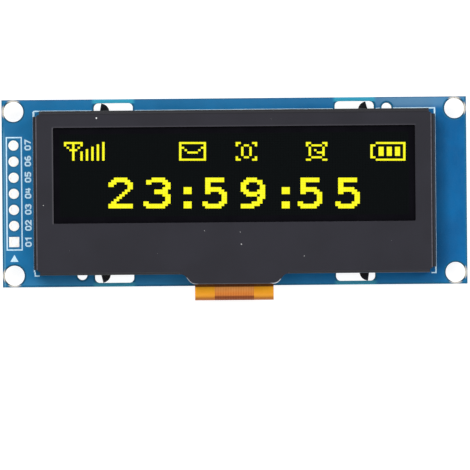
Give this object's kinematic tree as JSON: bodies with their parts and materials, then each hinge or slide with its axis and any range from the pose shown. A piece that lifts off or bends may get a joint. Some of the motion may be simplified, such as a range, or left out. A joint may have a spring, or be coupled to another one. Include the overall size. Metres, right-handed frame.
{
  "type": "oled display module",
  "caption": "Small wide dot-matrix display on a blue circuit board, with a black folded-steel bezel, a header hole row at the left and an amber tail folded round the lower edge",
  "frame": {"origin": "centre of the four corner holes, on the rear face of the board", "axes": "+X to the right of the display, +Y to its top, +Z out of the front, the way the display faces"},
  "size_m": [0.0734, 0.0319, 0.0058],
  "materials": {
    "board": "blue solder mask over glass-epoxy laminate",
    "tin": "tinned copper, bright satin",
    "black_steel": "black satin coating on sheet steel",
    "cell_glass": "clear float glass",
    "cured_adhesive": "cured epoxy adhesive",
    "desiccant": "white matte sheet",
    "dot_layers": "thin light-emitting layers that glow yellow",
    "polariser_film": "dark neutral film, smooth",
    "silicon": "bare die, dark grey",
    "clear_coating": "clear cured coating",
    "foam_tape": "off-white double-sided tape",
    "polyimide": "amber film with etched copper tracks",
    "solder": "solder, bright satin",
    "lead_metal": "tin plating, satin",
    "chip_mould": "black moulding compound",
    "ferrite": "dark grey sintered ferrite",
    "enamelled_wire": "enamelled copper wire",
    "capacitor_ceramic": "tan sintered ceramic",
    "resistor_film": "black glazed film"
  },
  "bodies": {
    "root": {"pcb": "board", "header_pads": "tin", "flex_pads": "tin", "part_pads": "tin", "bezel_frame": "black_steel", "front_glass": "cell_glass", "rear_cap_glass": "cell_glass", "edge_seal": "cured_adhesive", "bonding_film": "cured_adhesive", "desiccant_sheet": "desiccant", "emissive_stack": "dot_layers", "polariser": "polariser_film", "driver_chip": "silicon", "ledge_coating": "clear_coating", "mounting_tape": "foam_tape", "flex_tail": "polyimide", "flex_solder": "solder", "part_solder": "solder", "boost_chip_body": "chip_mould", "boost_chip_leads": "lead_metal", "regulator_body": "chip_mould", "regulator_leads": "lead_metal", "schottky_body": "chip_mould", "schottky_leads": "lead_metal", "inductor_core": "ferrite", "inductor_winding": "enamelled_wire", "inductor_shield": "ferrite", "inductor_terminals": "lead_metal", "small_capacitors": "capacitor_ceramic", "small_capacitor_ends": "lead_metal", "small_resistors": "resistor_film", "small_resistor_ends": "lead_metal", "large_capacitors": "capacitor_ceramic", "large_capacitor_ends": "lead_metal"}
  },
  "joints": []
}
